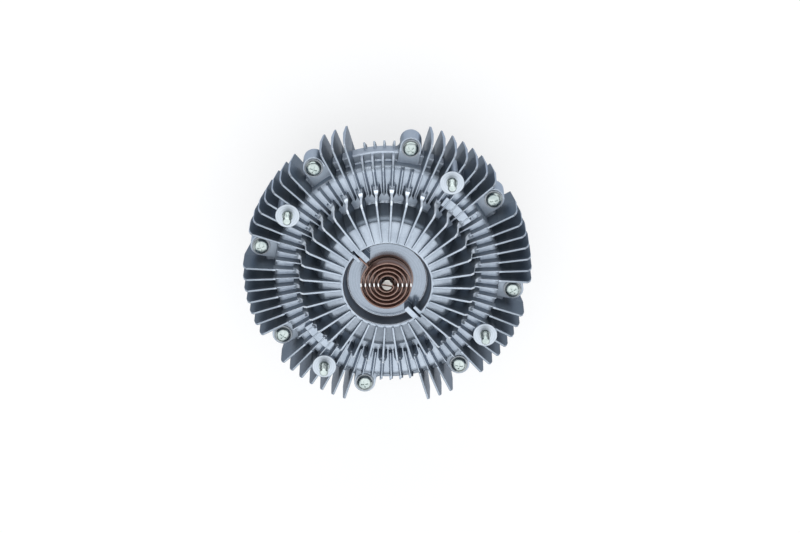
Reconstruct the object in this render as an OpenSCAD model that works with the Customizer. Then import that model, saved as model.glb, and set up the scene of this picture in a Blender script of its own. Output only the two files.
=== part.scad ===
// Viscous fan clutch: a finned housing that turns on a flanged drive shaft, with a bimetal coil valve.
// The axis is +Z. The rear face of the drive flange is z = 0 and the coil faces up.

/* [Joint between case and cover] */
// Height of the joint face above the rear of the drive flange
joint_z = 61; // [58:0.5:66]
// Diameter of the round joint flange of both castings
flange_od = 169; // [166:1:172]
// Thickness of the cover's joint flange
cover_flange_t = 7; // [5:0.5:9]
// Thickness of the case's joint flange
case_flange_t = 5; // [4:0.5:7]
// General wall of both castings
wall = 4.5; // [3.5:0.25:5.5]

/* [Outer fins] */
// Diameter over the outer fins
fin_od = 200; // [192:1:216]
// Angle between neighbouring fins
fin_pitch = 5; // [5]
// Height of the outer fins' front edges above the joint face
fin_front = 25; // [21:0.5:30]
// Length of the outer fins behind the joint face
fin_tail = 23; // [16:0.5:26]
// How far the rear tips lie inside the full diameter
fin_tip_in = 3; // [1:0.5:8]
// Axial length of the rounded front corner
fin_corner = 7; // [3:0.5:10]
// Radial depth of the rounded front corner
fin_corner_in = 2.7; // [1:0.1:5]
// Thickness of a blade at its free edge
fin_edge_t = 1.3; // [0.9:0.1:1.8]
// Thickness of a blade at its root
fin_root_t = 2.1; // [1.6:0.1:2.8]
// Diameter over the short fins of the case
short_fin_od = 180; // [176:1:190]
// Angle between neighbouring short fins
short_pitch = 4.5; // [4:0.1:5]
// Length of the short fins behind the joint face
short_fin_tail = 10; // [7:0.5:14]
// How far the rear tips of the short fins lie inside their diameter
short_fin_in = 5.5; // [3:0.5:7]
// Inner end of the case's fins, as a radius
rear_fin_r = 52; // [48:1:58]
// Number of short fins in each of the two short sectors
short_fins = 4; // [0:1:7]

/* [Ribbed ring of the cover] */
// Diameter of the raised ring
ring_od = 156; // [152:1:158]
// Rounding of the ring's outer edge
ring_round = 2.2; // [1:0.2:3]
// Height of the ring's floor above the joint face
ring_h = 18.5; // [17:0.5:21]
// Height of the ribs above the ring's floor
rib_h = 5.5; // [4:0.5:7]
// Inner end of the ribs, as a radius
rib_r = 58.5; // [56:0.5:61]
// Width of the plain band that bridges some of the ribs
band_w = 7; // [5:0.5:8]
// Angle that the plain band covers
band_angle = 20; // [16:1:24]

/* [Crown of the cover] */
// Number of crown fins
crown_fins = 36; // [24:12:36]
// Diameter over the crown fins at their front
crown_od = 120; // [116:1:124]
// Widening of the crown fins towards their foot, on the radius
crown_flare = 1.8; // [0.6:0.2:3]
// Reach of the gussets at the crown fins' feet
gusset_l = 5; // [3.5:0.25:6]
// Height of the gussets above the ribs
gusset_h = 4.5; // [3:0.25:6]
// Chamfer of the crown fins' front corner
crown_chamfer = 2.4; // [1:0.2:4]
// Height of the crown fins' outer front corner above the joint face
crown_h = 41.4; // [38:0.2:44]
// Rise of the crown fins' front edges towards the middle
crown_rise = 1.8; // [0:0.2:3]
// Diameter over the dome's shoulder
dome_od = 96; // [92:1:100]
// Rounding of the dome's shoulder
dome_round = 6; // [5:0.25:8]
// Fall of the dome's top
dome_slope = 17.5; // [10:0.5:22]
// Lean of the dome's wall
dome_lean = 15; // [8:0.5:18]
// Height of the dome's inner rim above the joint face
rim_h = 41.8; // [39:0.2:44]

/* [Coil pocket] */
// Diameter of the pocket's floor
pocket_d = 56.4; // [54:0.2:57]
// Diameter of the pocket at its mouth
pocket_mouth_d = 60; // [58:0.5:61]
// Width of the rim round the mouth
rim_w = 1.6; // [1:0.1:2.4]
// Height of the pocket's floor above the joint face
pocket_h = 31; // [29.5:0.5:33]
// Fillet between the pocket's floor and wall
pocket_fillet = 1.6; // [0.8:0.2:2.4]
// Angle of the post that holds the coil's outer end
anchor_angle = 134; // [120:1:150]
// Gap between the coil's outer turn and an anchor post
anchor_gap = 2.7; // [2:0.1:3.5]
// Width of an anchor post
anchor_w = 3.8; // [2.5:0.1:5]
// Slit that holds the coil's end
anchor_slit = 1.5; // [1.3:0.1:2]

/* [Bimetal coil] */
// Thickness of the strip
strip_t = 1; // [0.8:0.1:1.2]
// Width of the strip
strip_w = 9.7; // [8:0.1:10.5]
// Radial pitch of the turns
coil_pitch = 2.95; // [2.7:0.05:3.1]
// Gap between the valve shaft and the coil's inner turn
coil_start = 0.4; // [0.3:0.05:0.8]
// Turns of the strip
coil_turns = 4.6; // [4.5:0.05:4.7]
// Gap between the pocket's floor and the strip
coil_lift = 1.8; // [1.6:0.1:3]

/* [Valve] */
// Diameter of the valve shaft
valve_d = 7.5; // [6.5:0.1:8]
// Running clearance of the valve shaft, on the radius
valve_gap = 0.05; // [0.02:0.01:0.09]
// Height of the shaft's slotted end over the coil
valve_tip = 0.6; // [0.2:0.1:2]
// Thickness of the separator plate
plate_t = 1.5; // [1:0.1:2]
// Diameter of the separator plate
plate_d = 93; // [91:0.5:95]
// Diameter of the fluid ports in the separator plate
port_d = 8; // [6:0.5:9]
// Radius of the circle that the ports lie on
port_r = 30; // [27:0.5:32]
// Thickness of the valve plate
valve_plate_t = 1; // [0.8:0.1:1.4]
// Axial gap between the valve plate and the separator plate
valve_lift = 0.3; // [0.3:0.05:0.6]

/* [Screws, washers and studs] */
// Number of cover screws
screw_count = 8; // [8]
// Diameter of the screw circle
screw_pcd = 178; // [176:0.5:180]
// Angle of the first screw
screw_angle = 34.5; // [34.5]
// Thread diameter of the screws
screw_d = 6; // [5:0.5:6]
// Length of the screws under the head
screw_len = 16; // [13.5:0.5:16.5]
// Diameter of the screw heads
screw_head_d = 10.6; // [9.5:0.1:11]
// Height of the screw heads
screw_head_h = 2.8; // [2.2:0.1:3.6]
// Diameter of the washers
washer_d = 12.8; // [12:0.1:13.5]
// Thickness of the washers
washer_t = 1.2; // [0.8:0.1:1.6]
// Diameter of the screw ears
ear_d = 15; // [14.4:0.1:16]
// Thickness of the screw ears
ear_t = 9; // [7.5:0.5:11]
// Length of the case's screw bosses
boss_len = 9; // [8.5:0.5:12]
// Rounding of the inner corners beside the screw ears
ear_fillet = 4; // [2:0.5:5]
// Number of fan studs
stud_count = 4; // [4]
// Diameter of the fan stud circle
stud_pcd = 162.4; // [160:0.2:165]
// Thread diameter of the fan studs
stud_d = 6; // [5:0.5:8]
// Step from the studs' free thread to the larger one inside the pads, on the diameter
stud_step = 1; // [0.6:0.1:1.6]
// Length of the studs that stands out of the pads
stud_out = 11; // [8:0.5:20]
// Length of the studs inside the pads
stud_in = 14; // [10:0.5:18]
// Diameter of the stud pads
pad_d = 16.7; // [15:0.1:18]
// Height of the stud pads above the joint face
pad_h = 25.8; // [25:0.2:30]

/* [Drive shaft] */
// Diameter of the drive flange
drive_flange_d = 82; // [78:1:90]
// Thickness of the drive flange
drive_flange_t = 8; // [6:0.5:10]
// Number of holes in the drive flange
drive_holes = 4; // [3:1:6]
// Diameter of the holes in the drive flange
drive_hole_d = 8.6; // [6.6:0.2:10]
// Diameter of the hole circle in the drive flange
drive_pcd = 62; // [58:0.5:66]
// Diameter of the pilot bore
pilot_d = 22; // [16:0.5:24]
// Depth of the pilot bore
pilot_depth = 10; // [8:0.5:14]
// Diameter of the shaft behind the bearing
neck_d = 32; // [31:0.5:34]
// Diameter of the shaft's seat for the rotor
rotor_seat_d = 22; // [18:0.5:23]

/* [Bearing] */
// Bore of the bearing
bearing_bore = 25; // [24:0.5:26]
// Outer diameter of the bearing
bearing_od = 52; // [50:0.5:54]
// Width of the bearing
bearing_w = 15; // [14:0.5:16]
// Height of the bearing's rear face
bearing_z = 28; // [26:0.5:30]
// Diameter of a ball
ball_d = 7.94; // [7:0.02:8.4]
// Number of balls
ball_count = 9; // [7:1:9]
// Clearance between a ball and its grooves
ball_gap = 0.06; // [0.03:0.01:0.1]
// Thickness of the circlip
circlip_t = 1.5; // [1.2:0.1:2]

/* [Rotor and seals] */
// Thickness of the rotor's web
web_t = 6; // [5:0.5:7]
// Height of the concentric lands
land_h = 4.5; // [3:0.25:5]
// Thickness of a land
land_t = 2.2; // [1.8:0.1:2.6]
// Number of lands on each face of the rotor
land_count = 3; // [1:1:3]
// Running gap between rotor and housing
rotor_gap = 0.6; // [0.4:0.05:0.8]
// Height of the rotor's web above the joint face
rotor_h = 1; // [0.5:0.1:2]
// Width of the seal ring's groove
seal_w = 3; // [2:0.1:4]
// Depth of the seal ring's groove
seal_h = 2; // [1.5:0.1:3]

/* [Hidden] */
$fn = 96;

// Clearances: seats that are pressed together, screwed together, or only laid in place
seat_gap = 0.02;
thread_gap = 0.05;
bolt_gap = 0.3;
lay_gap = 0.1;
// Depth to which blades and bosses are sunk into the casting that carries them
bury = 1;
// Steps of a rounded corner in a turned profile
arc_steps = 6;

// Radii
flange_r = flange_od / 2;
fin_r = fin_od / 2;
ring_r = ring_od / 2;
crown_r = crown_od / 2;
pocket_r = pocket_d / 2;
mouth_r = pocket_mouth_d / 2;
rim_r = mouth_r + rim_w;
screw_r = screw_pcd / 2;
stud_r = stud_pcd / 2;
stud_root_d = stud_d + stud_step;
valve_r = valve_d / 2;
valve_bore_r = valve_r + valve_gap;
plate_r = plate_d / 2;
bearing_r = bearing_od / 2;
shaft_r = bearing_bore / 2;
neck_r = neck_d / 2;
pitch_r = (shaft_r + bearing_r) / 2;

// Heights of the cover
fin_z = joint_z + fin_front;
floor_z = joint_z + ring_h;
rib_z = floor_z + rib_h;
crown_z = joint_z + crown_h;
rim_z = joint_z + rim_h;
pocket_z = joint_z + pocket_h;
pad_z = joint_z + pad_h;
ear_z = joint_z + ear_t;
cover_flange_z = joint_z + cover_flange_t;

// Working chamber, rotor and lands
chamber_r = ring_r - wall;
rotor_r = chamber_r - rotor_gap;
web_z = joint_z + rotor_h;
web_top_z = web_z + web_t;
roof_z = web_top_z + land_h + rotor_gap;
bed_z = web_z - land_h - rotor_gap;
land_pitch = 2 * (land_t + rotor_gap);

// Reservoir, separator plate and valve
ledge_z = roof_z + plate_t + 0.9;
ledge_w = 5.5;
reservoir_r = plate_r - ledge_w;
ceiling_z = pocket_z - wall;
guide_r = valve_bore_r + wall;
valve_plate_z = ledge_z + valve_lift;
collar_z = valve_plate_z + valve_plate_t;
collar_t = 2;
collar_r = valve_r + 2.75;
guide_z = collar_z + collar_t + valve_lift;
coil_z = pocket_z + coil_lift;
coil_top_z = coil_z + strip_w;
valve_top_z = coil_top_z + valve_tip;

// Case
case_r = ring_r + 0.5;
case_wall_z = bed_z - wall;
hub_r = bearing_r + 1.55 * wall;
bearing_top_z = bearing_z + bearing_w;
shoulder_t = 3;
hub_z = bearing_z - circlip_t - 2;
fin_tail_z = joint_z - fin_tail;
short_fin_r = short_fin_od / 2;
short_tail_z = joint_z - short_fin_tail;

// Bearing
ring_wall = (bearing_r - shaft_r) * 0.26;
inner_land_r = shaft_r + ring_wall;
outer_land_r = bearing_r - ring_wall;
ball_r = ball_d / 2;
seal_in = 1.2;
seal_t = 0.8;

// Turned shape of the dome, drawn at a depth under its outer surface
dome_c_r = dome_od / 2 - dome_round;
dome_c_z = rim_z - (dome_c_r + dome_round * sin(dome_slope) - rim_r) * tan(dome_slope)
  - dome_round * cos(dome_slope);
function dome_arc(depth) = [
  for (i = [0 : arc_steps])
    let (a = 90 - dome_slope - i * (90 - dome_slope - dome_lean) / arc_steps)
      [dome_c_r + (dome_round - depth) * cos(a), dome_c_z + (dome_round - depth) * sin(a)]
];
function dome_top(r, depth) =
  let (p = dome_arc(depth)[0]) p[1] + (p[0] - r) * tan(dome_slope);
function dome_foot(z, depth) =
  let (p = dome_arc(depth)[arc_steps]) p[0] + (p[1] - z) * tan(dome_lean);
function reversed(points) = [for (i = [len(points) - 1 : -1 : 0]) points[i]];

// Radius of the outer face of land i, counted from the rim, on the housing and on the rotor
function housing_land_r(i) = chamber_r - land_t - 2 * rotor_gap - i * land_pitch;
function rotor_land_r(i) = rotor_r - i * land_pitch;

// Angles of the fins: one sector between two screws holds seven of them
sector = 360 / screw_count;
fins_per_sector = sector / fin_pitch - 2;
function fin_angle(s, i) = screw_angle + s * sector + (i + 1.5) * fin_pitch;
function is_short(s, i) = (s % 4 == 1) && (i < short_fins);
long_fin_angles = [
  for (s = [0 : screw_count - 1]) for (i = [0 : fins_per_sector - 1])
    if (!is_short(s, i)) fin_angle(s, i)
];
short_fin_angles = [
  for (s = [0 : screw_count - 1]) for (i = [0 : fins_per_sector - 1])
    if (is_short(s, i)) fin_angle(s, i)
];
short_case_angles = [
  for (s = [1 : 4 : screw_count - 1]) for (i = [0 : 1 : short_fins - 1])
    screw_angle + s * sector + 1.45 * fin_pitch + i * short_pitch
];
first_rib = screw_angle + fin_pitch / 2;
first_crown_fin = first_rib;
stud_angle = screw_angle + sector / 2;

// Bimetal coil: it winds outward clockwise, from the shaft's slot to the anchor post
coil_r = valve_r + coil_start + strip_t / 2 + coil_pitch * coil_turns;
anchor_r = coil_r + strip_t / 2 + anchor_gap;
coil_sweep = coil_turns * 360;
coil_step = 10;
function coil_at(turned) = coil_r - coil_pitch * turned / 360;
function polar(r, a) = [r * cos(a), r * sin(a)];

cast_colour = [0.68, 0.71, 0.75];
steel_colour = [0.62, 0.63, 0.64];
zinc_colour = [0.80, 0.82, 0.78];
dark_colour = [0.13, 0.13, 0.14];
copper_colour = [0.48, 0.29, 0.22];

// Copies at equal angles on a circle
module around(count, r, first = 0) {
  for (i = [0 : count - 1])
    rotate(first + i * 360 / count)
      translate([r, 0, 0])
        children();
}

// One radial blade with draft: it is thick at its root and thin at its free edge
module blade(r0, r1, z_root, z_edge, root_t = fin_root_t, edge_t = fin_edge_t) {
  translate([r0, 0, 0])
    rotate([90, 0, 90])
      linear_extrude(r1 - r0)
        polygon([
          [-root_t / 2, z_root], [root_t / 2, z_root],
          [edge_t / 2, z_edge], [-edge_t / 2, z_edge]
        ]);
}

// Flanged shaft with its pilot bore, bearing seat and the seat that the rotor is staked on
module drive_shaft() {
  edge = 0.8;
  fillet = 3;
  stake_t = 1.2;
  seat_r = rotor_seat_d / 2;
  color(steel_colour)
    difference() {
      rotate_extrude()
        polygon([
          [0, pilot_depth], [pilot_d / 2, pilot_depth], [pilot_d / 2, 0],
          [drive_flange_d / 2 - edge, 0], [drive_flange_d / 2, edge],
          [drive_flange_d / 2, drive_flange_t - edge], [drive_flange_d / 2 - edge, drive_flange_t],
          [neck_r + fillet, drive_flange_t], [neck_r + fillet * 0.3, drive_flange_t + fillet * 0.3],
          [neck_r, drive_flange_t + fillet], [neck_r, bearing_z],
          [shaft_r - seat_gap, bearing_z], [shaft_r - seat_gap, bearing_top_z],
          [seat_r - seat_gap, bearing_top_z], [seat_r - seat_gap, web_top_z],
          [seat_r + edge, web_top_z], [seat_r, web_top_z + stake_t], [0, web_top_z + stake_t]
        ]);
      around(drive_holes, drive_pcd / 2, 45)
        translate([0, 0, -bury])
          cylinder(d = drive_hole_d, h = drive_flange_t + 2 * bury, $fn = 32);
    }
}

// Rotor with concentric lands on both faces and holes that let the fluid through
module rotor_disc() {
  hub_wall = 4.5;
  hole_count = 6;
  hole_d = 8;
  seat_r = rotor_seat_d / 2;
  hub_out_r = seat_r + hub_wall;
  front_lands = [
    for (i = [0 : land_count - 1])
      each [
        [rotor_land_r(i), web_top_z], [rotor_land_r(i), web_top_z + land_h],
        [rotor_land_r(i) - land_t, web_top_z + land_h], [rotor_land_r(i) - land_t, web_top_z]
      ]
  ];
  rear_lands = [
    for (i = [land_count - 1 : -1 : 0])
      each [
        [rotor_land_r(i) - land_t, web_z], [rotor_land_r(i) - land_t, web_z - land_h],
        [rotor_land_r(i), web_z - land_h], [rotor_land_r(i), web_z]
      ]
  ];
  inner_r = rotor_land_r(land_count - 1) - land_t;
  color(steel_colour)
    difference() {
      rotate_extrude()
        polygon(concat(
          [[seat_r, bearing_top_z + lay_gap], [hub_out_r, bearing_top_z + lay_gap],
           [hub_out_r, web_z - 2], [hub_out_r + 2, web_z]],
          rear_lands, front_lands, [[seat_r, web_top_z]]
        ));
      around(hole_count, (hub_out_r + inner_r) / 2)
        translate([0, 0, web_z - bury])
          cylinder(d = hole_d, h = web_t + 2 * bury, $fn = 32);
    }
}

// Turned section of a bearing ring with its ball groove
module grooved_ring(r_in, r_out) {
  translate([0, 0, bearing_z])
    rotate_extrude()
      difference() {
        translate([r_in, 0])
          square([r_out - r_in, bearing_w]);
        translate([pitch_r, bearing_w / 2])
          circle(r = ball_r + ball_gap, $fn = 48);
      }
}

module bearing_inner_ring() {
  color(steel_colour)
    grooved_ring(shaft_r, inner_land_r);
}

module bearing_outer_ring() {
  color(steel_colour)
    grooved_ring(outer_land_r, bearing_r);
}

module bearing_balls() {
  color(zinc_colour)
    around(ball_count, pitch_r)
      translate([0, 0, bearing_z + bearing_w / 2])
        sphere(d = ball_d, $fn = 32);
}

// Ribbon cage with one round pocket for each ball
module bearing_cage() {
  cage_t = 1.8;
  pocket_gap = 0.15;
  cage_h = ball_d + 2 * pocket_gap + 2.1;
  color(copper_colour)
    difference() {
      translate([0, 0, bearing_z + (bearing_w - cage_h) / 2])
        rotate_extrude()
          translate([pitch_r - cage_t / 2, 0])
            square([cage_t, cage_h]);
      around(ball_count, pitch_r)
        translate([0, 0, bearing_z + bearing_w / 2])
          sphere(r = ball_r + pocket_gap, $fn = 32);
    }
}

// Shield that is pressed into the outer ring and clears the inner ring
module bearing_seal(z) {
  color(dark_colour)
    translate([0, 0, z])
      difference() {
        cylinder(r = outer_land_r - seat_gap, h = seal_t);
        translate([0, 0, -bury])
          cylinder(r = inner_land_r + bolt_gap, h = seal_t + 2 * bury);
      }
}

module bearing_front_seal() {
  bearing_seal(bearing_top_z - seal_in - seal_t);
}

module bearing_rear_seal() {
  bearing_seal(bearing_z + seal_in);
}

// Open ring in the hub's groove, just behind the bearing
module bearing_circlip() {
  opening = 34;
  eye_d = 5;
  eye_hole_d = 2;
  ring_in = 2.2;
  eye_r = bearing_r - ring_in - eye_d / 2 + 1;
  color(steel_colour)
    translate([0, 0, bearing_z - circlip_t])
      difference() {
        union() {
          rotate_extrude(angle = 360 - opening)
            translate([bearing_r - ring_in, 0])
              square([ring_in + 1, circlip_t - lay_gap]);
          for (a = [6, 354 - opening])
            rotate(a)
              translate([eye_r, 0, 0])
                cylinder(d = eye_d, h = circlip_t - lay_gap, $fn = 32);
        }
        for (a = [6, 354 - opening])
          rotate(a)
            translate([eye_r, 0, -bury])
              cylinder(d = eye_hole_d, h = circlip_t + 2 * bury, $fn = 24);
      }
}

// Turned shell of the case: hub, chamber, lands and joint flange
module case_shell() {
  fillet = 3;
  lands = [
    for (i = [land_count - 1 : -1 : 0])
      each [
        [housing_land_r(i) - land_t, bed_z], [housing_land_r(i) - land_t, web_z - rotor_gap],
        [housing_land_r(i), web_z - rotor_gap], [housing_land_r(i), bed_z]
      ]
  ];
  groove_r = bearing_r + 1 + lay_gap;
  mouth = (pitch_r + bearing_r) / 2;
  rotate_extrude()
    polygon(concat(
      [[bearing_r + seat_gap, hub_z], [bearing_r + seat_gap, bearing_z - circlip_t - lay_gap],
       [groove_r, bearing_z - circlip_t - lay_gap], [groove_r, bearing_z],
       [bearing_r + seat_gap, bearing_z], [bearing_r + seat_gap, bearing_top_z],
       [mouth, bearing_top_z], [mouth, bearing_top_z + shoulder_t], [hub_r + fillet, bed_z]],
      lands,
      [[chamber_r, bed_z], [chamber_r, joint_z], [flange_r, joint_z],
       [flange_r, joint_z - case_flange_t], [case_r, joint_z - case_flange_t],
       [case_r - fillet, case_wall_z], [hub_r + fillet, case_wall_z],
       [hub_r, case_wall_z - fillet], [hub_r, hub_z + 1], [hub_r - 1, hub_z]]
    ));
}

// Fins of the case that run the full length
module long_case_fins() {
  flange_z = joint_z - case_flange_t + bury;
  intersection() {
    rotate_extrude()
      polygon([
        [rear_fin_r, fin_tail_z + 3], [rear_fin_r, case_wall_z + bury],
        [case_r - 4 * bury, case_wall_z + bury], [case_r - bury, flange_z],
        [flange_r - bury, flange_z], [flange_r - bury, joint_z - lay_gap],
        [fin_r, joint_z - lay_gap], [fin_r - fin_tip_in, fin_tail_z]
      ]);
    for (a = long_fin_angles)
      rotate(a)
        blade(rear_fin_r - bury, fin_r + bury, joint_z, fin_tail_z - bury);
  }
}

// Short pointed fins of the case, in the two sectors without long ones
module short_case_fins() {
  flange_z = joint_z - case_flange_t + bury;
  root_r = case_r - 4 * bury;
  half_root = fin_root_t * 0.8;
  half_tip = fin_edge_t * 0.4;
  intersection() {
    rotate_extrude()
      polygon([
        [root_r, short_tail_z], [root_r, flange_z],
        [flange_r - bury, flange_z], [flange_r - bury, joint_z - lay_gap],
        [short_fin_r, joint_z - lay_gap], [short_fin_r - short_fin_in, short_tail_z]
      ]);
    for (a = short_case_angles)
      rotate(a)
        translate([0, 0, short_tail_z - bury])
          linear_extrude(short_fin_tail + bury)
            polygon([
              [root_r - bury, -half_root], [short_fin_r + bury, -half_tip],
              [short_fin_r + bury, half_tip], [root_r - bury, half_root]
            ]);
  }
}

// Plan of the two inner corners between the joint flange and a screw ear, in the ear's direction
module ear_corners() {
  ear_r = ear_d / 2;
  // The rounding is sunk a little into both castings' rims, so that they join cleanly
  sink = 0.15;
  far = flange_r + ear_fillet - sink;
  near = ear_r + ear_fillet - sink;
  turn = acos((screw_r * screw_r + far * far - near * near) / (2 * screw_r * far));
  for (side = [-1, 1])
    difference() {
      polygon([
        [flange_r - 3, 0], polar(flange_r - 3, side * turn), polar(far - ear_fillet, side * turn),
        polar(far, side * turn), [screw_r, side * (ear_r - sink)], [screw_r, 0]
      ]);
      translate(polar(far, side * turn))
        circle(r = ear_fillet, $fn = 48);
    }
}

// Case: shell, screw bosses, and the fins behind the joint
module rear_case() {
  color(cast_colour)
    difference() {
      union() {
        case_shell();
        around(screw_count, screw_r, screw_angle)
          translate([0, 0, joint_z - boss_len])
            cylinder(d = ear_d, h = boss_len - lay_gap, $fn = 48);
        around(screw_count, 0, screw_angle)
          translate([0, 0, joint_z - case_flange_t + bury / 2])
            linear_extrude(case_flange_t - bury)
              ear_corners();
        long_case_fins();
        short_case_fins();
      }
      translate([0, 0, joint_z - seal_h])
        rotate_extrude()
          translate([(chamber_r + flange_r - seal_w) / 2, 0])
            square([seal_w, seal_h + bury]);
      around(screw_count, screw_r, screw_angle)
        translate([0, 0, ear_z + washer_t - screw_len - 1])
          cylinder(d = screw_d + 2 * thread_gap, h = screw_len, $fn = 32);
    }
}

// Seal that fills its groove and is pressed flat by the cover
module cover_seal_ring() {
  color(dark_colour)
    translate([0, 0, joint_z - seal_h])
      rotate_extrude()
        translate([(chamber_r + flange_r) / 2, seal_h / 2])
          intersection() {
            circle(d = seal_w - lay_gap, $fn = 32);
            square([seal_w, seal_h - 2 * seat_gap], center = true);
          }
}

// Turned shell of the cover: pocket, dome, ring, flange, lands and reservoir
module cover_shell() {
  edge = 1;
  lands = [
    for (i = [0 : land_count - 1])
      each [
        [housing_land_r(i), roof_z], [housing_land_r(i), web_top_z + rotor_gap],
        [housing_land_r(i) - land_t, web_top_z + rotor_gap], [housing_land_r(i) - land_t, roof_z]
      ]
  ];
  pocket_wall_r = mouth_r + wall;
  rotate_extrude()
    polygon(concat(
      [[valve_bore_r, guide_z], [valve_bore_r, pocket_z],
       [pocket_r - pocket_fillet, pocket_z],
       [pocket_r - pocket_fillet * 0.3, pocket_z + pocket_fillet * 0.3],
       [pocket_r, pocket_z + pocket_fillet],
       [mouth_r - edge * 0.3, rim_z - edge], [mouth_r + edge * 0.4, rim_z]],
      [[rim_r, dome_top(rim_r, 0)]],
      dome_arc(0),
      [[dome_foot(floor_z + edge, 0), floor_z + edge], [dome_foot(floor_z, 0) + edge, floor_z],
       [ring_r - ring_round, floor_z], [ring_r - ring_round * 0.5, floor_z - ring_round * 0.14],
       [ring_r - ring_round * 0.14, floor_z - ring_round * 0.5], [ring_r, floor_z - ring_round],
       [ring_r, cover_flange_z + edge], [ring_r + edge, cover_flange_z],
       [flange_r - edge, cover_flange_z], [flange_r, cover_flange_z - edge],
       [flange_r, joint_z], [chamber_r, joint_z], [chamber_r, roof_z]],
      lands,
      [[plate_r + lay_gap, roof_z], [plate_r + lay_gap, ledge_z],
       [reservoir_r, ledge_z], [reservoir_r, ledge_z + wall / 2]],
      reversed(dome_arc(wall)),
      [[pocket_wall_r + edge, dome_top(pocket_wall_r + edge, wall)], [pocket_wall_r, ceiling_z],
       [guide_r, ceiling_z], [guide_r, guide_z]]
    ));
}

// Space that the crown fins fill, from just under the dome's surface
module crown_space() {
  foot_z = floor_z - bury;
  rotate_extrude()
    polygon(concat(
      [[rim_r, dome_top(rim_r, bury)], [rim_r, crown_z + crown_rise],
       [crown_r - crown_chamfer, crown_z], [crown_r, crown_z - crown_chamfer],
       [crown_r + crown_flare, foot_z], [dome_foot(foot_z, bury), foot_z]],
      reversed(dome_arc(bury))
    ));
}

// Space that the gussets at the crown fins' feet fill, with a hollow outer edge
module gusset_space() {
  root_r = crown_r - 2 * bury;
  rotate_extrude()
    polygon([
      [root_r, floor_z - bury], [root_r, rib_z + gusset_h],
      [crown_r, rib_z + gusset_h], [crown_r + gusset_l * 0.32, rib_z + gusset_h * 0.45],
      [crown_r + gusset_l * 0.6, rib_z + gusset_h * 0.12], [crown_r + gusset_l, rib_z - gusset_h * 0.12],
      [crown_r + gusset_l, floor_z - bury]
    ]);
}

// Space that the outer fins fill, in front of the joint
module outer_fin_space() {
  root_r = ring_r - bury;
  rotate_extrude()
    polygon([
      [root_r, fin_z], [fin_r - fin_corner_in, fin_z],
      [fin_r - fin_corner_in * 0.3, fin_z - fin_corner * 0.42], [fin_r, fin_z - fin_corner],
      [fin_r, joint_z + lay_gap], [flange_r - bury, joint_z + lay_gap],
      [flange_r - bury, cover_flange_z - bury], [root_r, cover_flange_z - bury]
    ]);
}

// Ribs of the short sectors run down from the ring to the flange's edge
module short_rib_space() {
  root_r = ring_r - 2 * bury;
  rotate_extrude()
    polygon([
      [root_r, rib_z], [ring_r, rib_z], [flange_r - bury, cover_flange_z + rib_h],
      [flange_r - bury, cover_flange_z - bury], [root_r, cover_flange_z - bury]
    ]);
}

// All the blades of the cover
module cover_blades() {
  intersection() {
    crown_space();
    around(crown_fins, 0, first_crown_fin)
      blade(rim_r - bury, crown_r + crown_flare + bury, floor_z - 2 * bury, rim_z + 2 * bury);
  }
  intersection() {
    gusset_space();
    around(crown_fins, 0, first_crown_fin)
      blade(crown_r - 3 * bury, crown_r + gusset_l + bury, floor_z - 2 * bury, rib_z + gusset_h + bury,
        3.2 * fin_root_t, fin_edge_t);
  }
  around(360 / fin_pitch, 0, first_rib)
    blade(rib_r, ring_r - bury / 2, floor_z - bury, rib_z, fin_root_t + 0.7, fin_edge_t - 0.5);
  intersection() {
    outer_fin_space();
    for (a = long_fin_angles)
      rotate(a)
        blade(ring_r - 2 * bury, fin_r + bury, joint_z, fin_z + bury);
  }
  intersection() {
    short_rib_space();
    for (a = short_fin_angles)
      rotate(a)
        blade(ring_r - 3 * bury, flange_r, joint_z, rib_z + bury);
  }
}

// Two posts that flank a slit, cast on the pocket's floor and wall
module anchor_posts() {
  short_post_r = pocket_r - 3.5;
  short_post_w = anchor_w * 0.6;
  root_r = mouth_r + rim_w * 0.6;
  post_h = rim_z - pocket_z + bury - lay_gap;
  for (a = [anchor_angle, anchor_angle + 180])
    rotate(a)
      translate([0, 0, pocket_z - bury]) {
        translate([anchor_r, -anchor_w - anchor_slit / 2, 0])
          cube([root_r - anchor_r, anchor_w, post_h]);
        translate([short_post_r, anchor_slit / 2, 0])
          cube([root_r - short_post_r, short_post_w, post_h]);
      }
}

// Slits between the posts, cut on through the rim of the pocket
module anchor_slits() {
  slit_depth = strip_w / 2;
  for (a = [anchor_angle, anchor_angle + 180])
    rotate(a)
      translate([pocket_r - 3, -anchor_slit / 2, rim_z - slit_depth])
        cube([rim_r - pocket_r + 5, anchor_slit, slit_depth + crown_rise + 2 * bury]);
}

// Plain band between the ribs next to the first screw, and the round ejector mark beside it
module cast_marks() {
  band_r = crown_r + 3 * bury;
  mark_d = 3.5;
  rotate(screw_angle)
    rotate_extrude(angle = band_angle)
      translate([band_r, floor_z - bury])
        square([band_w, rib_h + bury - 4 * lay_gap]);
  rotate(screw_angle)
    translate([ring_r - 1.4 * mark_d, 0, floor_z - bury])
      cylinder(d = mark_d, h = bury + 5 * lay_gap, $fn = 32);
}

// Bosses of the studs, kept out of the working chamber
module stud_bosses() {
  difference() {
    around(stud_count, stud_r, stud_angle)
      translate([0, 0, joint_z])
        cylinder(d = pad_d, h = pad_h, $fn = 64);
    translate([0, 0, joint_z - bury])
      cylinder(r = chamber_r + wall / 2, h = roof_z - joint_z + bury + wall / 2, $fn = 128);
  }
}

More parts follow.
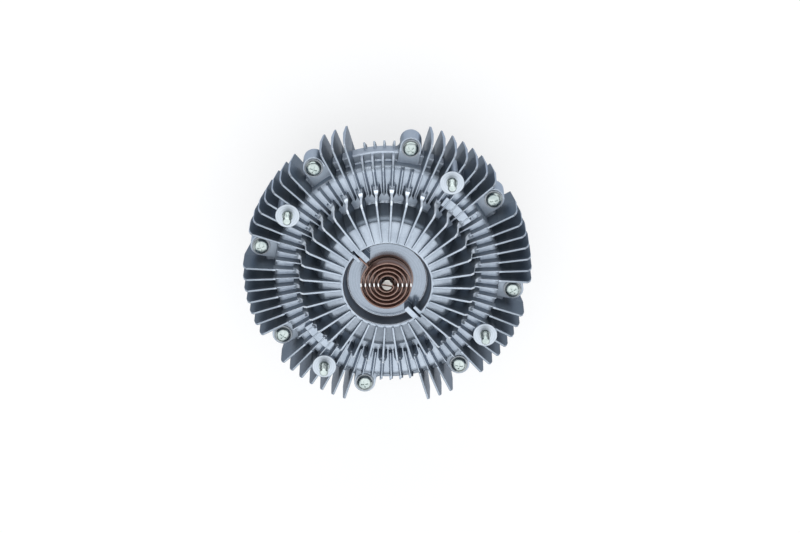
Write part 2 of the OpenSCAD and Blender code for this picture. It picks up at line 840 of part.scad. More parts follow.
// Cover: shell, screw ears, stud pads, blades and posts in one casting
module front_cover() {
  color(cast_colour)
    difference() {
      union() {
        cover_shell();
        around(screw_count, screw_r, screw_angle)
          translate([0, 0, joint_z]) {
            cylinder(d = ear_d, h = ear_t, $fn = 48);
            translate([ring_r - bury - screw_r, -ear_d / 2, 0])
              cube([screw_r - ring_r + bury, ear_d, ear_t]);
          }
        around(screw_count, 0, screw_angle)
          translate([0, 0, joint_z + bury / 2])
            linear_extrude(cover_flange_t - 2 * bury)
              ear_corners();
        stud_bosses();
        cover_blades();
        cast_marks();
        anchor_posts();
      }
      anchor_slits();
      around(screw_count, screw_r, screw_angle)
        translate([0, 0, joint_z - bury])
          cylinder(d = screw_d + 2 * bolt_gap, h = ear_t + 2 * bury, $fn = 32);
      around(stud_count, stud_r, stud_angle)
        translate([0, 0, pad_z - stud_in - lay_gap])
          cylinder(d = stud_root_d + 2 * thread_gap, h = stud_in + bury, $fn = 32);
      around(rivet_count, rivet_r)
        translate([0, 0, ledge_z - bury])
          cylinder(d = rivet_d + 2 * thread_gap, h = rivet_depth + bury, $fn = 24);
    }
}

// Rivets of the separator plate
rivet_count = 4;
rivet_d = 2 * plate_t;
rivet_head_d = 1.67 * rivet_d;
rivet_head_h = 0.27 * rivet_d;
rivet_shank = 1.15 * rivet_d;
rivet_depth = rivet_shank + 5 * lay_gap;
rivet_r = plate_r - ledge_w / 2;

// Plate between the reservoir and the working chamber, with two ports
module separator_plate() {
  color(steel_colour)
    translate([0, 0, ledge_z - plate_t])
      difference() {
        cylinder(r = plate_r, h = plate_t);
        around(2, port_r, anchor_angle)
          translate([0, 0, -bury])
            cylinder(d = port_d, h = plate_t + 2 * bury, $fn = 32);
        around(rivet_count, rivet_r)
          translate([0, 0, -bury])
            cylinder(d = rivet_d + 2 * thread_gap, h = plate_t + 2 * bury, $fn = 24);
      }
}

module separator_rivets() {
  color(steel_colour)
    around(rivet_count, rivet_r)
      translate([0, 0, ledge_z - plate_t - rivet_head_h]) {
        cylinder(d = rivet_head_d, h = rivet_head_h, $fn = 32);
        cylinder(d = rivet_d, h = rivet_head_h + plate_t + rivet_shank, $fn = 24);
      }
}

// Two-armed plate that covers both ports when the clutch is cold
module valve_plate() {
  arm_w = port_d + 4;
  spigot_r = valve_r - 1;
  color(steel_colour)
    translate([0, 0, valve_plate_z])
      difference() {
        rotate(anchor_angle)
          union() {
            translate([-port_r, -arm_w / 2, 0])
              cube([2 * port_r, arm_w, valve_plate_t]);
            around(2, port_r)
              cylinder(d = arm_w, h = valve_plate_t, $fn = 48);
          }
        translate([0, 0, -bury])
          cylinder(r = spigot_r + seat_gap, h = valve_plate_t + 2 * bury, $fn = 32);
      }
}

// Grooves of the valve shaft
seal_groove_w = 2.2;
seal_groove_r = valve_r - 1;
seal_groove_z = (guide_z + pocket_z - seal_groove_w) / 2;
clip_t = 0.9;
clip_groove_r = valve_r - 0.9;
clip_z = pocket_z + 0.35;

// Shaft with its collar, seal groove, clip groove and the slot for the coil's inner end
module valve_shaft() {
  edge = 0.4;
  slot_w = strip_t + 2 * lay_gap;
  color(zinc_colour)
    difference() {
      rotate_extrude($fn = 64)
        polygon([
          [0, valve_plate_z], [valve_r - 1, valve_plate_z], [valve_r - 1, collar_z],
          [collar_r, collar_z], [collar_r, collar_z + collar_t], [valve_r, collar_z + collar_t],
          [valve_r, seal_groove_z], [seal_groove_r, seal_groove_z],
          [seal_groove_r, seal_groove_z + seal_groove_w], [valve_r, seal_groove_z + seal_groove_w],
          [valve_r, clip_z - seat_gap], [clip_groove_r, clip_z - seat_gap],
          [clip_groove_r, clip_z + clip_t + seat_gap], [valve_r, clip_z + clip_t + seat_gap],
          [valve_r, valve_top_z - edge], [valve_r - edge, valve_top_z], [0, valve_top_z]
        ]);
      rotate(coil_end_angle)
        translate([-valve_r - bury, -slot_w / 2, coil_z - lay_gap])
          cube([2 * (valve_r + bury), slot_w, strip_w + valve_tip + bury]);
    }
}

module valve_shaft_seal() {
  color(dark_colour)
    translate([0, 0, seal_groove_z + lay_gap])
      difference() {
        cylinder(r = valve_r + valve_gap / 2, h = seal_groove_w - 2 * lay_gap, $fn = 48);
        translate([0, 0, -bury])
          cylinder(r = seal_groove_r + seat_gap, h = seal_groove_w + 2 * bury, $fn = 48);
      }
}

// Clip with an open side, pushed into its groove over the pocket's floor
module valve_clip() {
  clip_r = valve_r + 1.6;
  color(dark_colour)
    translate([0, 0, clip_z])
      difference() {
        cylinder(r = clip_r, h = clip_t, $fn = 48);
        translate([0, 0, -bury])
          cylinder(r = clip_groove_r + seat_gap, h = clip_t + 2 * bury, $fn = 48);
        rotate(coil_end_angle)
          translate([0, -clip_groove_r * 0.8, -bury])
            cube([clip_r + bury, clip_groove_r * 1.6, clip_t + 2 * bury]);
      }
}

// Angle at which the coil's inner end meets the shaft
coil_end_angle = anchor_angle + coil_sweep;

// Spiral strip: its outer end turns out into the slit and its inner end sits in the shaft's slot
module bimetal_coil() {
  steps = ceil(coil_sweep / coil_step);
  half = strip_t / 2;
  tail_r = pocket_r - 0.6;
  inner_r = coil_at(coil_sweep);
  outer_edge = [
    for (i = [0 : steps])
      polar(coil_at(i * coil_sweep / steps) + half, anchor_angle + i * coil_sweep / steps)
  ];
  inner_edge = [
    for (i = [steps : -1 : 0])
      polar(coil_at(i * coil_sweep / steps) - half, anchor_angle + i * coil_sweep / steps)
  ];
  color(copper_colour)
    translate([0, 0, coil_z])
      linear_extrude(strip_w)
        union() {
          polygon(concat(outer_edge, inner_edge));
          rotate(anchor_angle)
            translate([coil_r - half, -half])
              square([tail_r - coil_r + half, strip_t]);
          rotate(coil_end_angle)
            translate([-valve_r + lay_gap, -half])
              square([inner_r + half + valve_r - lay_gap, strip_t]);
        }
}

// Pan head screws with a cross recess
module cover_screws() {
  recess_w = 1.2;
  recess_l = screw_head_d * 0.55;
  recess_h = 1.5;
  head_r = screw_head_d / 2;
  color(zinc_colour)
    around(screw_count, screw_r, screw_angle)
      translate([0, 0, ear_z + washer_t])
        difference() {
          union() {
            rotate_extrude($fn = 48)
              polygon([
                [0, 0], [head_r, 0], [head_r, screw_head_h * 0.38],
                [head_r * 0.9, screw_head_h * 0.72], [head_r * 0.66, screw_head_h * 0.94],
                [head_r * 0.35, screw_head_h], [0, screw_head_h]
              ]);
            translate([0, 0, -screw_len])
              cylinder(d = screw_d, h = screw_len + bury, $fn = 32);
          }
          for (a = [20, 110])
            rotate(a)
              translate([-recess_l / 2, -recess_w / 2, screw_head_h - recess_h])
                cube([recess_l, recess_w, recess_h + bury]);
        }
}

module screw_washers() {
  color(dark_colour)
    around(screw_count, screw_r, screw_angle)
      translate([0, 0, ear_z])
        difference() {
          cylinder(d = washer_d, h = washer_t, $fn = 48);
          translate([0, 0, -bury])
            cylinder(d = screw_d + 2 * lay_gap, h = washer_t + 2 * bury, $fn = 32);
        }
}

// Stepped studs with a chamfered end: the larger thread is screwed into the pad up to its face
module fan_studs() {
  chamfer = 0.8;
  step_z = stud_in - lay_gap / 2;
  color(zinc_colour)
    around(stud_count, stud_r, stud_angle)
      translate([0, 0, pad_z - stud_in])
        rotate_extrude($fn = 32)
          polygon([
            [0, 0], [stud_root_d / 2, 0], [stud_root_d / 2, step_z], [stud_d / 2, step_z],
            [stud_d / 2, stud_in + stud_out - chamfer],
            [stud_d / 2 - chamfer, stud_in + stud_out], [0, stud_in + stud_out]
          ]);
}

drive_shaft();
rotor_disc();
bearing_inner_ring();
bearing_outer_ring();
bearing_balls();
bearing_cage();
bearing_front_seal();
bearing_rear_seal();
bearing_circlip();
rear_case();
cover_seal_ring();
front_cover();
separator_plate();
separator_rivets();
valve_plate();
valve_shaft();
valve_shaft_seal();
valve_clip();
bimetal_coil();
cover_screws();
screw_washers();
fan_studs();
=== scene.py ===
"""Looks of the viscous fan clutch: materials, pieces that are finer here than in the CAD, and the studio."""

import math

import bmesh
import bpy
import numpy as np
from mathutils import Matrix, Vector


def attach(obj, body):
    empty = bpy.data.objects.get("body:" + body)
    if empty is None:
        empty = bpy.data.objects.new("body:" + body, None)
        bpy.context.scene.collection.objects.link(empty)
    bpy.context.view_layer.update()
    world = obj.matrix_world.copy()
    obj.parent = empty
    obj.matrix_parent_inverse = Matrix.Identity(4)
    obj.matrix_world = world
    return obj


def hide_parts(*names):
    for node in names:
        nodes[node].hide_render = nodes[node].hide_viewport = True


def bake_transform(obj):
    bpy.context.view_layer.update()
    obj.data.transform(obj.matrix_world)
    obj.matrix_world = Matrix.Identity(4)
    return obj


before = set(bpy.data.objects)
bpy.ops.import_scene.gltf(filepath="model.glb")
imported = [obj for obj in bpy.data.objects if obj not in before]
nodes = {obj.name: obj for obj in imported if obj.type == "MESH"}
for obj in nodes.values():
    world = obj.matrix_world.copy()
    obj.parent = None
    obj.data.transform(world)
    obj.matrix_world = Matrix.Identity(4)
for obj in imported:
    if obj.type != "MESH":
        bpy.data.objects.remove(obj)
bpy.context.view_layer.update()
MM = 0.001

# Radii and levels of the CAD in mm, and angles in degrees
SCREW_R, SCREW_A, SCREW_Z = 89.0, 34.5, 71.2
STUD_R, STUD_A, PAD_Z = 81.2, 57.0, 86.8
POCKET_R, POCKET_Z = 28.2, 92.0
VALVE_R = 3.75
COIL_R, COIL_PITCH, COIL_TURNS, COIL_A = 18.22, 2.95, 4.6, 134.0
COIL_INNER_R = COIL_R - COIL_PITCH * COIL_TURNS
# Ends of the strip, in the post and on the far side of the shaft
TAIL_R, ROOT_R = POCKET_R - 0.6, 0.1 - VALVE_R
# The strip is deeper than in the CAD
COIL_Z, STRIP_W, STRIP_T = 92.5, 11.0, 1.0

# Zones of the materials: a length, and the two places in mm where the mask is 0 and where it is 1
ZONES = {
    "outer_fin_shade": [("r", 86.0, 94.0)],
    "ribs": [("r", 60.5, 62.0), ("r", 79.5, 78.0), ("z", 78.5, 79.5)],
    "ring": [("r", 70.0, 75.0)],
    "ring_edge": [("r", 74.5, 76.0), ("r", 86.5, 85.5), ("z", 82.5, 81.0)],
    "crown": [("r", 33.0, 34.5), ("r", 60.5, 58.5), ("z", 80.5, 82.0)],
    "crown_end_highlight": [("r", 56.2, 57.2), ("r", 63.2, 62.2), ("z", 79.2, 79.7)],
    "lit_fin_ends": [("r", 80.0, 83.0)],
    "fin_tip_shade": [("r", 78.5, 79.5), ("z", 83.5, 84.8)],
    "pads": [("pad", 8.6, 8.2), ("z", PAD_Z - 0.3, PAD_Z - 0.1), ("z", PAD_Z + 0.4, PAD_Z + 0.2)],
    "pocket_floor": [("r", POCKET_R - 0.6, POCKET_R - 1.2), ("z", POCKET_Z - 0.4, POCKET_Z - 0.2),
                     ("z", POCKET_Z + 0.3, POCKET_Z + 0.1)],
    "coil_shade": [("r", COIL_R + 0.3, COIL_R - 0.7)],
    "painted_glint": [("across", 1.6, 0.7), ("r", 4.5, 5.5)],
}

# Colours of the casting; a pair is the darker and the paler of its blotches; several rows are painted light
# or shade, as said above each
CAST = {
    # painted shade: the dark colour of the walls stands in for the shade between the fins
    "wall": ((0.112, 0.135, 0.163), (0.155, 0.183, 0.217)),
    # painted shade: darker still on the walls of the long outer fins
    "outer_fin_shade": (0.045, 0.073, 0.112),
    # painted light: the walls of the ribs are painted paler than the other walls, as lit
    "ribs": (0.3, 0.335, 0.38),
    # painted light: the paler colour of the faces that point forward or outward stands in for the light on
    # them
    "face": ((0.27, 0.31, 0.36), (0.36, 0.405, 0.46)),
    "grain": (0.46, 0.51, 0.57),
    # painted light on the outward end faces of the fins
    "lit_fin_ends": (0.42, 0.465, 0.53),
    # painted shade on the outer parts of the fins towards their front edges
    "fin_tip_shade": (0.11, 0.13, 0.155),
    # painted highlight on the outward ends of the crown fins
    "crown_end_highlight": (0.6, 0.65, 0.71),
    "pads": ((0.385, 0.425, 0.47), (0.46, 0.50, 0.54)),
    "pocket_floor": ((0.21, 0.243, 0.285), (0.26, 0.294, 0.338)),
    # painted shade and reflection of the coil, brown, on the pocket floor under it
    "coil_shade": (0.15, 0.11, 0.095),
    "tool_marks": (0.16, 0.18, 0.21),
    "gloss": (0.5, 0.59, 0.72),
}
STRIP = {
    "sides": ((0.24, 0.13, 0.1), (0.33, 0.2, 0.16)),
    "edge": (0.2, 0.135, 0.115),
    # painted highlight across the turns of the strip
    "painted_glint": (0.9, 0.89, 0.88),
}
BLACKS = ((0.018, 0.018, 0.02), (0.04, 0.04, 0.043))
FLOOR_COLOR, FLOOR_WHITE = (0.93, 0.935, 0.94), 0.72

# How far a tint covers the colour under it
SHARE = {"outer_fin_shade": 0.6, "grain": 0.5, "fin_tip_shade": 0.35, "tool_marks": 0.2, "grooves": 0.25, "edge": 0.7}
# How squarely a face points outward or forward where a mask is 0 and where it is 1
SLOPE = {"ring": (0.3, 0.8), "lit_fin_ends": (0.55, 0.95), "crown_end_highlight": (0.4, 0.75), "level": (0.2, 0.65),
         "crown_level": (0.82, 0.95), "turned": (0.6, 0.8), "edge": (0.3, 0.95), "painted_glint": (0.1, 0.5)}
# Values of a noise between which its blotches or specks come up
BLOTCH, TURNED_BLOTCH, SPECK = (0.3, 0.7), (0.3, 0.72), (0.45, 0.8)
# Roughness, as a range or one value; that of the ring's edge is added to the casting's
ROUGH = {"cast": (0.27, 0.38), "ring_edge": 0.22, "pads": 0.34, "pocket_floor": (0.16, 0.24),
         "strip": (0.13, 0.2), "rubber": (0.5, 0.75)}
# Metal of the drawn walls, and what the pale faces add to it
WALL_METAL, FACE_METAL = 0.55, 0.4
# Pitch of the casting's tool marks and radius of its edges, in mm
PAD_PITCH, POCKET_PITCH, CAST_EDGE = 1.6, 1.8, 0.6
# A groove in turned steel has so much of its darker colour
GROOVE = 0.72


# ---- node helpers

class Tree:
    """A node material with a Principled shader, and short calls for its nodes."""

    def __init__(self, name):
        self.mat = bpy.data.materials.new(name)
        self.mat.use_nodes = True
        self.tree = self.mat.node_tree
        self.tree.nodes.clear()
        self.out = self.tree.nodes.new("ShaderNodeOutputMaterial")
        self.shader = self.tree.nodes.new("ShaderNodeBsdfPrincipled")
        self.tree.links.new(self.shader.outputs[0], self.out.inputs[0])
        coords = self.tree.nodes.new("ShaderNodeTexCoord")
        self.place = coords.outputs["Object"]
        self.normal = coords.outputs["Normal"]
        self.x, self.y, self.z = self.split(self.place)
        self.r = self.hypot(self.x, self.y)

    def put(self, socket, value):
        """Links a socket to a node's output, or sets its number or colour."""
        if isinstance(value, bpy.types.NodeSocket):
            self.tree.links.new(value, socket)
        else:
            socket.default_value = value

    def node(self, kind, inputs, **settings):
        n = self.tree.nodes.new(kind)
        for key, value in settings.items():
            setattr(n, key, value)
        for key, value in inputs.items():
            self.put(n.inputs[key], value)
        return n

    def split(self, vector):
        return self.node("ShaderNodeSeparateXYZ", {0: vector}).outputs

    def join(self, x, y, z):
        return self.node("ShaderNodeCombineXYZ", {0: x, 1: y, 2: z}).outputs[0]

    def math(self, kind, a, b=0.0):
        return self.node("ShaderNodeMath", {0: a, 1: b}, operation=kind).outputs[0]

    def both(self, a, b):
        return self.math("MULTIPLY", a, b)

    def rest(self, share):
        return self.math("SUBTRACT", 1.0, share)

    def hypot(self, a, b):
        return self.math("SQRT", self.math("ADD", self.both(a, a), self.both(b, b)))

    def rise(self, value, low, high):
        """0 below low, 1 above high, smooth between; low may be the larger."""
        return self.node("ShaderNodeMapRange", {"Value": value, "From Min": low, "From Max": high},
                         interpolation_type="SMOOTHSTEP").outputs[0]

    def span(self, value, low, high):
        """A value of 0 to 1 stretched to run from low to high."""
        return self.node("ShaderNodeMapRange", {"Value": value, "To Min": low, "To Max": high}).outputs[0]

    def zone(self, name, **lengths):
        """Mask of a row in ZONES; lengths other than r and z are given."""
        lengths = {"r": self.r, "z": self.z, **lengths}
        mask = 1.0
        for key, zero, one in ZONES[name]:
            mask = self.both(mask, self.rise(lengths[key], zero * MM, one * MM))
        return mask

    def mix(self, share, a, b):
        """Colour a where the share is 0, and b where it is 1."""
        n = self.tree.nodes.new("ShaderNodeMix")
        n.data_type = "RGBA"
        self.put(n.inputs[0], share)
        for socket, color in ((n.inputs[6], a), (n.inputs[7], b)):
            self.put(socket, color if isinstance(color, bpy.types.NodeSocket) else (*color, 1))
        return n.outputs[2]

    def noise(self, scale, detail, rough=0.55, place=None):
        return self.node("ShaderNodeTexNoise", {"Vector": place or self.place, "Scale": scale,
                                                "Detail": detail, "Roughness": rough}).outputs["Fac"]

    def waves(self, length, period):
        """Even grooves along a length, 0 to 1, with the period in mm."""
        wave = self.math("SINE", self.both(length, 2 * math.pi / (period * MM)))
        return self.math("ADD", self.both(wave, 0.5), 0.5)

    def bump(self, height, depth, strength, after=None):
        """Normal of a height that is as deep as so many mm, on top of another normal."""
        inputs = {"Height": height, "Distance": depth * MM, "Strength": strength}
        if after is not None:
            inputs["Normal"] = after
        return self.node("ShaderNodeBump", inputs).outputs[0]

    def rounded(self, radius):
        """Normal with the edges rounded by a radius in mm."""
        return self.node("ShaderNodeBevel", {"Radius": radius * MM}, samples=6).outputs[0]

    def shade(self, **inputs):
        """Sets the shader's inputs and gives the material."""
        names = {"color": "Base Color", "rough": "Roughness", "metal": "Metallic", "bump": "Normal",
                 "specular": "Specular IOR Level", "tint": "Specular Tint"}
        for key, value in inputs.items():
            if isinstance(value, tuple):
                value = (*value, 1)
            self.put(self.shader.inputs[names[key]], value)
        return self.mat


# ---- materials

def cast_aluminium(name, machined):
    """As-cast skin, dark and dull on the drawn walls with painted shade, and paler on the faces that point
    forward or outward with painted light.
    """
    m = Tree(name)
    nx, ny, nz = m.split(m.normal)
    outward = m.math("DIVIDE", m.math("ADD", m.both(nx, m.x), m.both(ny, m.y)), m.r)
    forward = m.math("ABSOLUTE", nz)
    blotch = m.rise(m.noise(scale=70, detail=4), *BLOTCH)
    grain = m.noise(scale=900, detail=3, rough=0.6)
    pits = m.noise(scale=420, detail=2)

    # the walls get a painted shade colour
    wall = m.mix(blotch, *CAST["wall"])
    # painted shade, deeper on the walls of the outer fins
    wall = m.mix(m.both(m.zone("outer_fin_shade"), SHARE["outer_fin_shade"]), wall, CAST["outer_fin_shade"])
    # painted light on the walls of the ribs
    wall = m.mix(m.zone("ribs"), wall, CAST["ribs"])
    # the forward and outward faces get a painted light colour
    face = m.mix(blotch, *CAST["face"])
    face = m.mix(m.both(m.rise(grain, *SPECK), SHARE["grain"]), face, CAST["grain"])

    # on the crown only the flattest faces get the painted light, so the flanks of its fins keep the painted
    # shade
    crown = m.zone("crown")
    level = m.math("ADD", m.both(crown, m.rise(forward, *SLOPE["crown_level"])),
                   m.both(m.rest(crown), m.rise(forward, *SLOPE["level"])))
    # mask of the faces that get the painted light
    pale = m.math("MAXIMUM", m.both(m.rise(outward, *SLOPE["ring"]), m.zone("ring")), level)
    color = m.mix(pale, wall, face)
    # painted light: the outward end faces of the fins are paler
    lit_fin_ends = m.both(m.rise(outward, *SLOPE["lit_fin_ends"]), m.zone("lit_fin_ends"))
    color = m.mix(lit_fin_ends, color, CAST["lit_fin_ends"])
    # painted shade: darker on the outer parts of the fins towards their front edges
    color = m.mix(m.both(m.zone("fin_tip_shade"), SHARE["fin_tip_shade"]), color, CAST["fin_tip_shade"])
    # painted highlight: the ends of the crown fins are painted bright
    crown_end_highlight = m.both(m.rise(outward, *SLOPE["crown_end_highlight"]), m.zone("crown_end_highlight"))
    color = m.mix(crown_end_highlight, color, CAST["crown_end_highlight"])
    # the rolled edge of the ring is rougher
    rough = m.math("ADD", m.span(grain, *ROUGH["cast"]), m.both(m.zone("ring_edge"), ROUGH["ring_edge"]))

    as_cast = 1.0
    if machined:
        color, rough, as_cast = machine(m, color, rough)
    bump = m.bump(m.both(pits, as_cast), depth=0.15, strength=0.3, after=m.rounded(CAST_EDGE))
    bump = m.bump(m.both(grain, as_cast), depth=0.06, strength=0.4, after=bump)
    # the drawn walls are duller than a clean metal
    metal = m.math("ADD", WALL_METAL, m.both(m.math("SUBTRACT", pale, crown_end_highlight), FACE_METAL))
    return m.shade(color=color, rough=rough, metal=metal, bump=bump, tint=CAST["gloss"])


def machine(m, color, rough):
    """Colour and roughness with the turned stud pads and pocket floor, and the share that stays as cast."""
    # the four pads are folded on to one by their symmetry
    c, s = math.cos(math.radians(STUD_A)), math.sin(math.radians(STUD_A))
    u = m.math("ABSOLUTE", m.math("ADD", m.both(m.x, c), m.both(m.y, s)))
    v = m.math("ABSOLUTE", m.math("SUBTRACT", m.both(m.y, c), m.both(m.x, s)))
    far, near = m.math("MAXIMUM", u, v), m.math("MINIMUM", u, v)
    pad_r = m.hypot(m.math("SUBTRACT", far, STUD_R * MM), near)
    on_pad, on_floor = m.zone("pads", pad=pad_r), m.zone("pocket_floor")
    cut = m.math("MAXIMUM", on_pad, on_floor)
    as_cast = m.rest(cut)

    smear = m.noise(scale=300, detail=2)
    # the pocket floor under the coil gets painted shade and reflection of the coil
    floor = m.mix(m.zone("coil_shade"), m.mix(smear, *CAST["pocket_floor"]), CAST["coil_shade"])
    shine = m.mix(on_floor, m.mix(smear, *CAST["pads"]), floor)
    rings = m.math("ADD", m.both(on_pad, m.waves(pad_r, PAD_PITCH)),
                   m.both(on_floor, m.waves(m.r, POCKET_PITCH)))
    shine = m.mix(m.both(rings, SHARE["tool_marks"]), shine, CAST["tool_marks"])
    cut_rough = m.math("ADD", m.both(on_pad, ROUGH["pads"]),
                       m.both(on_floor, m.span(smear, *ROUGH["pocket_floor"])))
    return m.mix(cut, color, shine), m.math("ADD", m.both(rough, as_cast), cut_rough), as_cast


def plated_steel(name, low, high, roughness=(0.2, 0.38)):
    """Cloudy plating between two colours, with a fine grain."""
    m = Tree(name)
    cloud, grain = m.noise(scale=240, detail=3), m.noise(scale=3200, detail=2)
    return m.shade(color=m.mix(m.rise(cloud, *BLOTCH), low, high), rough=m.span(cloud, *roughness),
                   metal=1.0, bump=m.bump(grain, depth=0.04, strength=0.4))


def turned_steel(name, low, high, roughness=(0.24, 0.42), period=0.6):
    """Steel between two colours with tool marks: rings on its faces, and grooves along its sides."""
    m = Tree(name)
    flat = m.rise(m.math("ABSOLUTE", m.split(m.normal)[2]), *SLOPE["turned"])
    cuts = m.math("ADD", m.both(flat, m.waves(m.r, period)), m.both(m.rest(flat), m.waves(m.z, period)))
    cloud, fine = m.noise(scale=90, detail=4), m.noise(scale=2600, detail=2)
    color = m.mix(m.rise(cloud, *TURNED_BLOTCH), low, high)
    color = m.mix(m.both(cuts, SHARE["grooves"]), color, tuple(GROOVE * c for c in low))
    bump = m.bump(cuts, depth=0.02, strength=0.5, after=m.bump(fine, depth=0.03, strength=0.3))
    return m.shade(color=color, rough=m.span(cloud, *roughness), metal=1.0, bump=bump)


def bimetal_strip(name):
    """Brown rolled strip with streaks along it, and a painted highlight across its turns where y is near 0.
    """
    m = Tree(name)
    forward = m.split(m.normal)[2]
    cloud = m.noise(scale=160, detail=4)
    streak = m.noise(scale=420, detail=3, rough=0.6, place=m.join(m.r, m.z, 0.0))
    color = m.mix(m.rise(cloud, *BLOTCH), *STRIP["sides"])
    color = m.mix(m.both(m.rise(forward, *SLOPE["edge"]), SHARE["edge"]), color, STRIP["edge"])
    # painted highlight: bright where y is near 0, on the faces that point up
    across = m.math("ABSOLUTE", m.y)
    glint = m.both(m.rise(forward, *SLOPE["painted_glint"]), m.zone("painted_glint", across=across))
    color = m.mix(glint, color, STRIP["painted_glint"])
    return m.shade(color=color, rough=m.span(streak, *ROUGH["strip"]), metal=0.5,
                   bump=m.bump(streak, depth=0.02, strength=0.25))


def rubber(name):
    """Dull black rubber with a fine grain."""
    m = Tree(name)
    cloud, grain = m.noise(scale=300, detail=3), m.noise(scale=2400, detail=3)
    return m.shade(color=m.mix(cloud, *BLACKS), rough=m.span(grain, *ROUGH["rubber"]),
                   bump=m.bump(grain, depth=0.06, strength=0.5))


def pale_floor(name):
    """Pale floor that looks nearer white when seen, mirrored or seen through glass, and keeps its shadows."""
    m = Tree(name)
    m.shade(color=FLOOR_COLOR, rough=0.8, specular=0.1)
    rays = m.tree.nodes.new("ShaderNodeLightPath").outputs
    seen = m.math("MAXIMUM", rays["Is Glossy Ray"], rays["Is Transmission Ray"])
    seen = m.math("MAXIMUM", rays["Is Camera Ray"], seen)
    white = m.node("ShaderNodeEmission", {"Color": (1, 1, 1, 1), "Strength": 1.0})
    blend = m.node("ShaderNodeMixShader", {0: m.both(seen, FLOOR_WHITE), 1: m.shader.outputs[0],
                                           2: white.outputs[0]})
    m.tree.links.new(blend.outputs[0], m.out.inputs[0])
    return m.mat


ALUMINIUM = cast_aluminium("cast_aluminium_cover", True)
ALUMINIUM_CASE = cast_aluminium("cast_aluminium_case", False)
ZINC = plated_steel("zinc_plated_steel", (0.30, 0.35, 0.34), (0.46, 0.51, 0.49))
WASHER = plated_steel("washer_steel", (0.16, 0.175, 0.19), (0.28, 0.30, 0.32), (0.34, 0.5))
STEEL = turned_steel("turned_steel", (0.42, 0.43, 0.45), (0.60, 0.61, 0.63))
PLATE = turned_steel("sheet_steel", (0.46, 0.47, 0.48), (0.58, 0.59, 0.60), (0.3, 0.48), 2.0)
BEARING = turned_steel("bearing_steel", (0.60, 0.61, 0.62), (0.74, 0.75, 0.76), (0.12, 0.24))
SHAFT = turned_steel("valve_shaft_steel", (0.25, 0.242, 0.228), (0.4, 0.388, 0.362), (0.16, 0.3), 0.4)
BRASS = plated_steel("cage_brass", (0.48, 0.33, 0.13), (0.62, 0.45, 0.2), (0.24, 0.4))
SPRING = plated_steel("spring_steel", (0.10, 0.105, 0.115), (0.19, 0.195, 0.205), (0.3, 0.45))
BIMETAL = bimetal_strip("bimetal_strip")
RUBBER = rubber("seal_rubber")

FINISH = {
    "front_cover": ALUMINIUM, "rear_case": ALUMINIUM_CASE,
    "drive_shaft": STEEL, "rotor_disc": STEEL, "separator_plate": PLATE, "separator_rivets": PLATE,
    "valve_plate": PLATE, "valve_shaft": SHAFT, "valve_clip": SPRING, "bearing_circlip": SPRING,
    "bearing_inner_ring": BEARING, "bearing_outer_ring": BEARING, "bearing_balls": BEARING,
    "bearing_cage": BRASS, "bearing_front_seal": RUBBER, "bearing_rear_seal": RUBBER,
    "cover_seal_ring": RUBBER, "valve_shaft_seal": RUBBER, "screw_washers": WASHER,
    "cover_screws": ZINC, "fan_studs": ZINC, "bimetal_coil": BIMETAL,
}
for name, obj in nodes.items():
    obj.data.materials.clear()
    obj.data.materials.append(FINISH[name])


# ---- mesh helpers, in mm and degrees

def new_mesh(name, points, faces, material, smooth=40):
    """A mesh object whose edges are sharp from an angle on."""
    mesh = bpy.data.meshes.new(name)
    mesh.from_pydata([tuple(c * MM for c in p) for p in points], [], faces)
    mesh.materials.append(material)
    obj = bpy.data.objects.new(name, mesh)
    bpy.context.scene.collection.objects.link(obj)
    bm = bmesh.new()
    bm.from_mesh(mesh)
    bmesh.ops.recalc_face_normals(bm, faces=bm.faces)
    for f in bm.faces:
        f.smooth = True
    for e in bm.edges:
        e.smooth = len(e.link_faces) == 2 and e.calc_face_angle(0) < math.radians(smooth)
    bm.to_mesh(mesh)
    bm.free()
    return obj


def on_circle(r, a):
    """A point of the plane, with the angle in radians."""
    return np.array((r * math.cos(a), r * math.sin(a)))


def ring(r, z, steps):
    """Points of a circle round Z."""
    angles = [2 * math.pi * i / steps for i in range(steps)]
    return [(r * math.cos(a), r * math.sin(a), z) for a in angles]


def lathe(profile, steps):
    """Points and faces of a profile of (r, z) turned round Z; an r of 0 is one point."""
    points, rows, faces = [], [], []
    for r, z in profile:
        if r == 0:
            rows.append([len(points)] * steps)
            points.append((0, 0, z))
        else:
            rows.append(list(range(len(points), len(points) + steps)))
            points += ring(r, z, steps)
    for a, b in zip(rows, rows[1:]):
        for i in range(steps):
            j = (i + 1) % steps
            loop = [a[i], a[j], b[j], b[i]]
            loop = [p for k, p in enumerate(loop) if p not in loop[:k]]
            if len(loop) > 2:
                faces.append(loop)
    return points, faces


def skin(rows):
    """Points and faces over rows of points that run round, closed at both ends."""
    points = [p for row in rows for p in row]
    n, faces = len(rows[0]), []
    for k in range(len(rows) - 1):
        for i in range(n):
            j = (i + 1) % n
            faces.append([k * n + i, k * n + j, (k + 1) * n + j, (k + 1) * n + i])
    faces.append(list(range(n))[::-1])
    faces.append(list(range((len(rows) - 1) * n, len(rows) * n)))
    return points, faces


def turned(points, angle):
    """Points turned about Z."""
    c, s = math.cos(math.radians(angle)), math.sin(math.radians(angle))
    return [(x * c - y * s, x * s + y * c, z) for x, y, z in points]


def placed(points, r, angle, z, turn):
    """Points turned about Z and moved to a place on a circle round the axis."""
    cx, cy = on_circle(r, math.radians(angle))
    return [(cx + x, cy + y, z + h) for x, y, h in turned(points, turn)]


def joined(parts):
    """Points and faces of several parts as one."""
    points, faces = [], []
    for p, f in parts:
        faces += [[i + len(points) for i in loop] for loop in f]
        points += p
    return points, faces


# ---- plain band between the ribs, turned by 180 degrees from the one in the CAD

